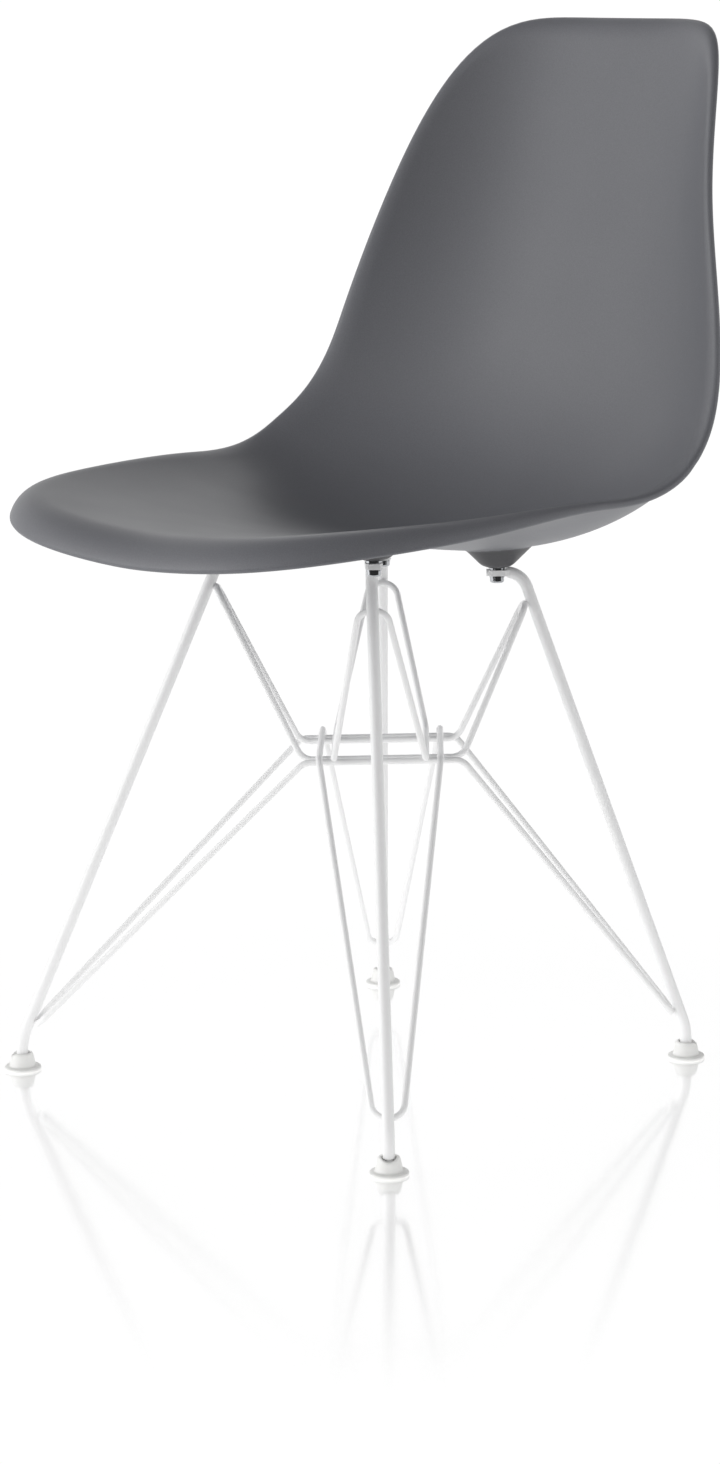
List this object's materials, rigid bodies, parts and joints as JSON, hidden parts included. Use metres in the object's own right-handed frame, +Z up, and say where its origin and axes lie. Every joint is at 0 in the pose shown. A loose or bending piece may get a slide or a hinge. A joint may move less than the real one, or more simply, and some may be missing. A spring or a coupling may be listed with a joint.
{
  "type": "chair",
  "caption": "Side chair with a one-piece moulded plastic seat and back on a base of bent steel rod braced by crossed wire loops, standing on tilting push-fit glides.",
  "frame": {"origin": "on the floor, below the middle of the chair's outline seen from above", "axes": "+Z up, -Y towards the front edge of the seat, +X towards the right-hand side of the chair as seen by someone who faces it"},
  "size_m": [0.4494, 0.5519, 0.8074],
  "materials": {
    "shell": "satin, finely textured, moulded polypropylene",
    "frame": "satin white powder coat on steel rod and wire",
    "plating": "bright chrome-plated steel",
    "glide": "satin moulded nylon"
  },
  "bodies": {
    "chair": {"seat_shell": "shell", "front_right_leg": "frame", "front_right_threaded_insert": "plating", "front_right_spring_washer": "plating", "front_right_mount_bolt": "plating", "front_left_leg": "frame", "front_left_threaded_insert": "plating", "front_left_spring_washer": "plating", "front_left_mount_bolt": "plating", "rear_right_leg": "frame", "rear_right_threaded_insert": "plating", "rear_right_spring_washer": "plating", "rear_right_mount_bolt": "plating", "rear_left_leg": "frame", "rear_left_threaded_insert": "plating", "rear_left_spring_washer": "plating", "rear_left_mount_bolt": "plating", "front_left_lower_loop": "frame", "front_left_upper_loop": "frame", "front_right_lower_loop": "frame", "front_right_upper_loop": "frame"},
    "front_right_foot": {"front_right_glide": "glide"},
    "front_left_foot": {"front_left_glide": "glide"},
    "rear_right_foot": {"rear_right_glide": "glide"},
    "rear_left_foot": {"rear_left_glide": "glide"}
  },
  "joints": [
    {"name": "front_right_glide_tilt", "type": "hinge", "parent": "chair", "child": "front_right_foot", "pos_m": [0.201, -0.218, 0.0074], "axis": [0.683, 0.7304, 0], "range_deg": [-6, 6]},
    {"name": "front_left_glide_tilt", "type": "hinge", "parent": "chair", "child": "front_left_foot", "pos_m": [-0.201, -0.218, 0.0074], "axis": [0.683, -0.7304, 0], "range_deg": [-6, 6]},
    {"name": "rear_right_glide_tilt", "type": "hinge", "parent": "chair", "child": "rear_right_foot", "pos_m": [0.167, 0.1568, 0.0074], "axis": [-0.6996, 0.7145, 0], "range_deg": [-6, 6]},
    {"name": "rear_left_glide_tilt", "type": "hinge", "parent": "chair", "child": "rear_left_foot", "pos_m": [-0.167, 0.1568, 0.0074], "axis": [-0.6996, -0.7145, 0], "range_deg": [-6, 6]}
  ]
}
